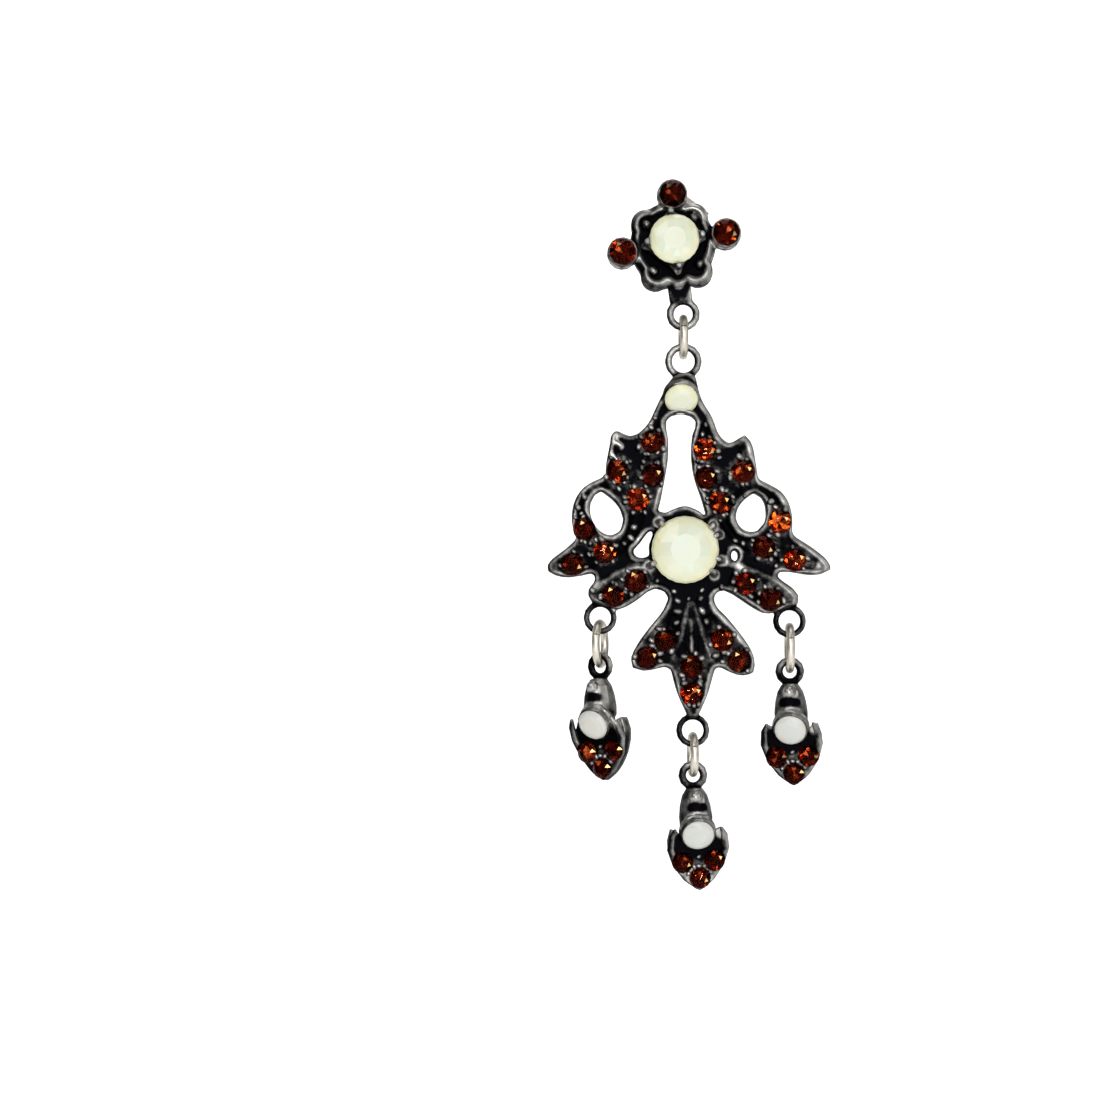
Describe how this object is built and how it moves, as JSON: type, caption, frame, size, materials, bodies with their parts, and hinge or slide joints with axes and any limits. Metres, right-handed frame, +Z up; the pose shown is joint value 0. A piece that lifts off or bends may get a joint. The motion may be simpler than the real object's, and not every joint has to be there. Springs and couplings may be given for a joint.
{
  "type": "chandelier earring",
  "caption": "Chandelier earring for a pierced ear: a floret stud, an openwork leaf pendant and small bud drops on jump rings, set with milky and amber stones.",
  "frame": {"origin": "where the ear post leaves the stud's flat back, so the plane y = 0 lies on the ear lobe", "axes": "+Z up, the earring's front looks along -Y, the post points along +Y, +X to the right as seen from the front"},
  "size_m": [0.0294, 0.0165, 0.0746],
  "materials": {
    "oxidised_silver": "darkened cast metal, black in its grooves and polished on its rims",
    "bright_silver": "bright polished wire",
    "amber_glass": "faceted, clear dark red-brown",
    "opal_glass": "faceted, milky white"
  },
  "bodies": {
    "stud": {"stud_casting": "oxidised_silver", "ear_post": "bright_silver", "ear_clutch": "bright_silver", "stud_opal": "opal_glass", "stud_amber_left": "amber_glass", "stud_amber_right": "amber_glass", "stud_amber_top": "amber_glass"},
    "top_ring": {"jump_ring_top": "bright_silver"},
    "pendant": {"amber_branch_left_1": "amber_glass", "amber_branch_left_2": "amber_glass", "amber_branch_left_3": "amber_glass", "amber_branch_right_1": "amber_glass", "amber_branch_right_2": "amber_glass", "amber_branch_right_3": "amber_glass", "amber_inner_left": "amber_glass", "amber_inner_right": "amber_glass", "amber_loop_left": "amber_glass", "amber_loop_right": "amber_glass", "amber_lower_leaf_left_1": "amber_glass", "amber_lower_leaf_left_2": "amber_glass", "amber_lower_leaf_right_1": "amber_glass", "amber_lower_leaf_right_2": "amber_glass", "amber_side_leaf_left": "amber_glass", "amber_side_leaf_right": "amber_glass", "amber_trefoil_centre_1": "amber_glass", "amber_trefoil_centre_2": "amber_glass", "amber_trefoil_left_1": "amber_glass", "amber_trefoil_left_2": "amber_glass", "amber_trefoil_right_1": "amber_glass", "amber_trefoil_right_2": "amber_glass", "amber_upper_leaf_left": "amber_glass", "amber_upper_leaf_right": "amber_glass", "drop_bottom_amber_1": "amber_glass", "drop_bottom_amber_2": "amber_glass", "drop_bottom_amber_3": "amber_glass", "drop_bottom_casting": "oxidised_silver", "drop_bottom_opal": "opal_glass", "drop_left_amber_1": "amber_glass", "drop_left_amber_2": "amber_glass", "drop_left_amber_3": "amber_glass", "drop_left_casting": "oxidised_silver", "drop_left_opal": "opal_glass", "drop_right_amber_1": "amber_glass", "drop_right_amber_2": "amber_glass", "drop_right_amber_3": "amber_glass", "drop_right_casting": "oxidised_silver", "drop_right_opal": "opal_glass", "jump_ring_bottom": "bright_silver", "jump_ring_left": "bright_silver", "jump_ring_right": "bright_silver", "pendant_casting": "oxidised_silver", "pendant_opal": "opal_glass", "top_opal": "opal_glass"}
  },
  "joints": [
    {"name": "ring_swing", "type": "hinge", "parent": "stud", "child": "top_ring", "pos_m": [0, -0.001, -0.01111], "axis": [0, 1, 0], "range_deg": [-45, 45]},
    {"name": "pendant_swing", "type": "hinge", "parent": "top_ring", "child": "pendant", "pos_m": [0, -0.001, -0.01352], "axis": [1, 0, 0], "range_deg": [-45, 45]}
  ]
}
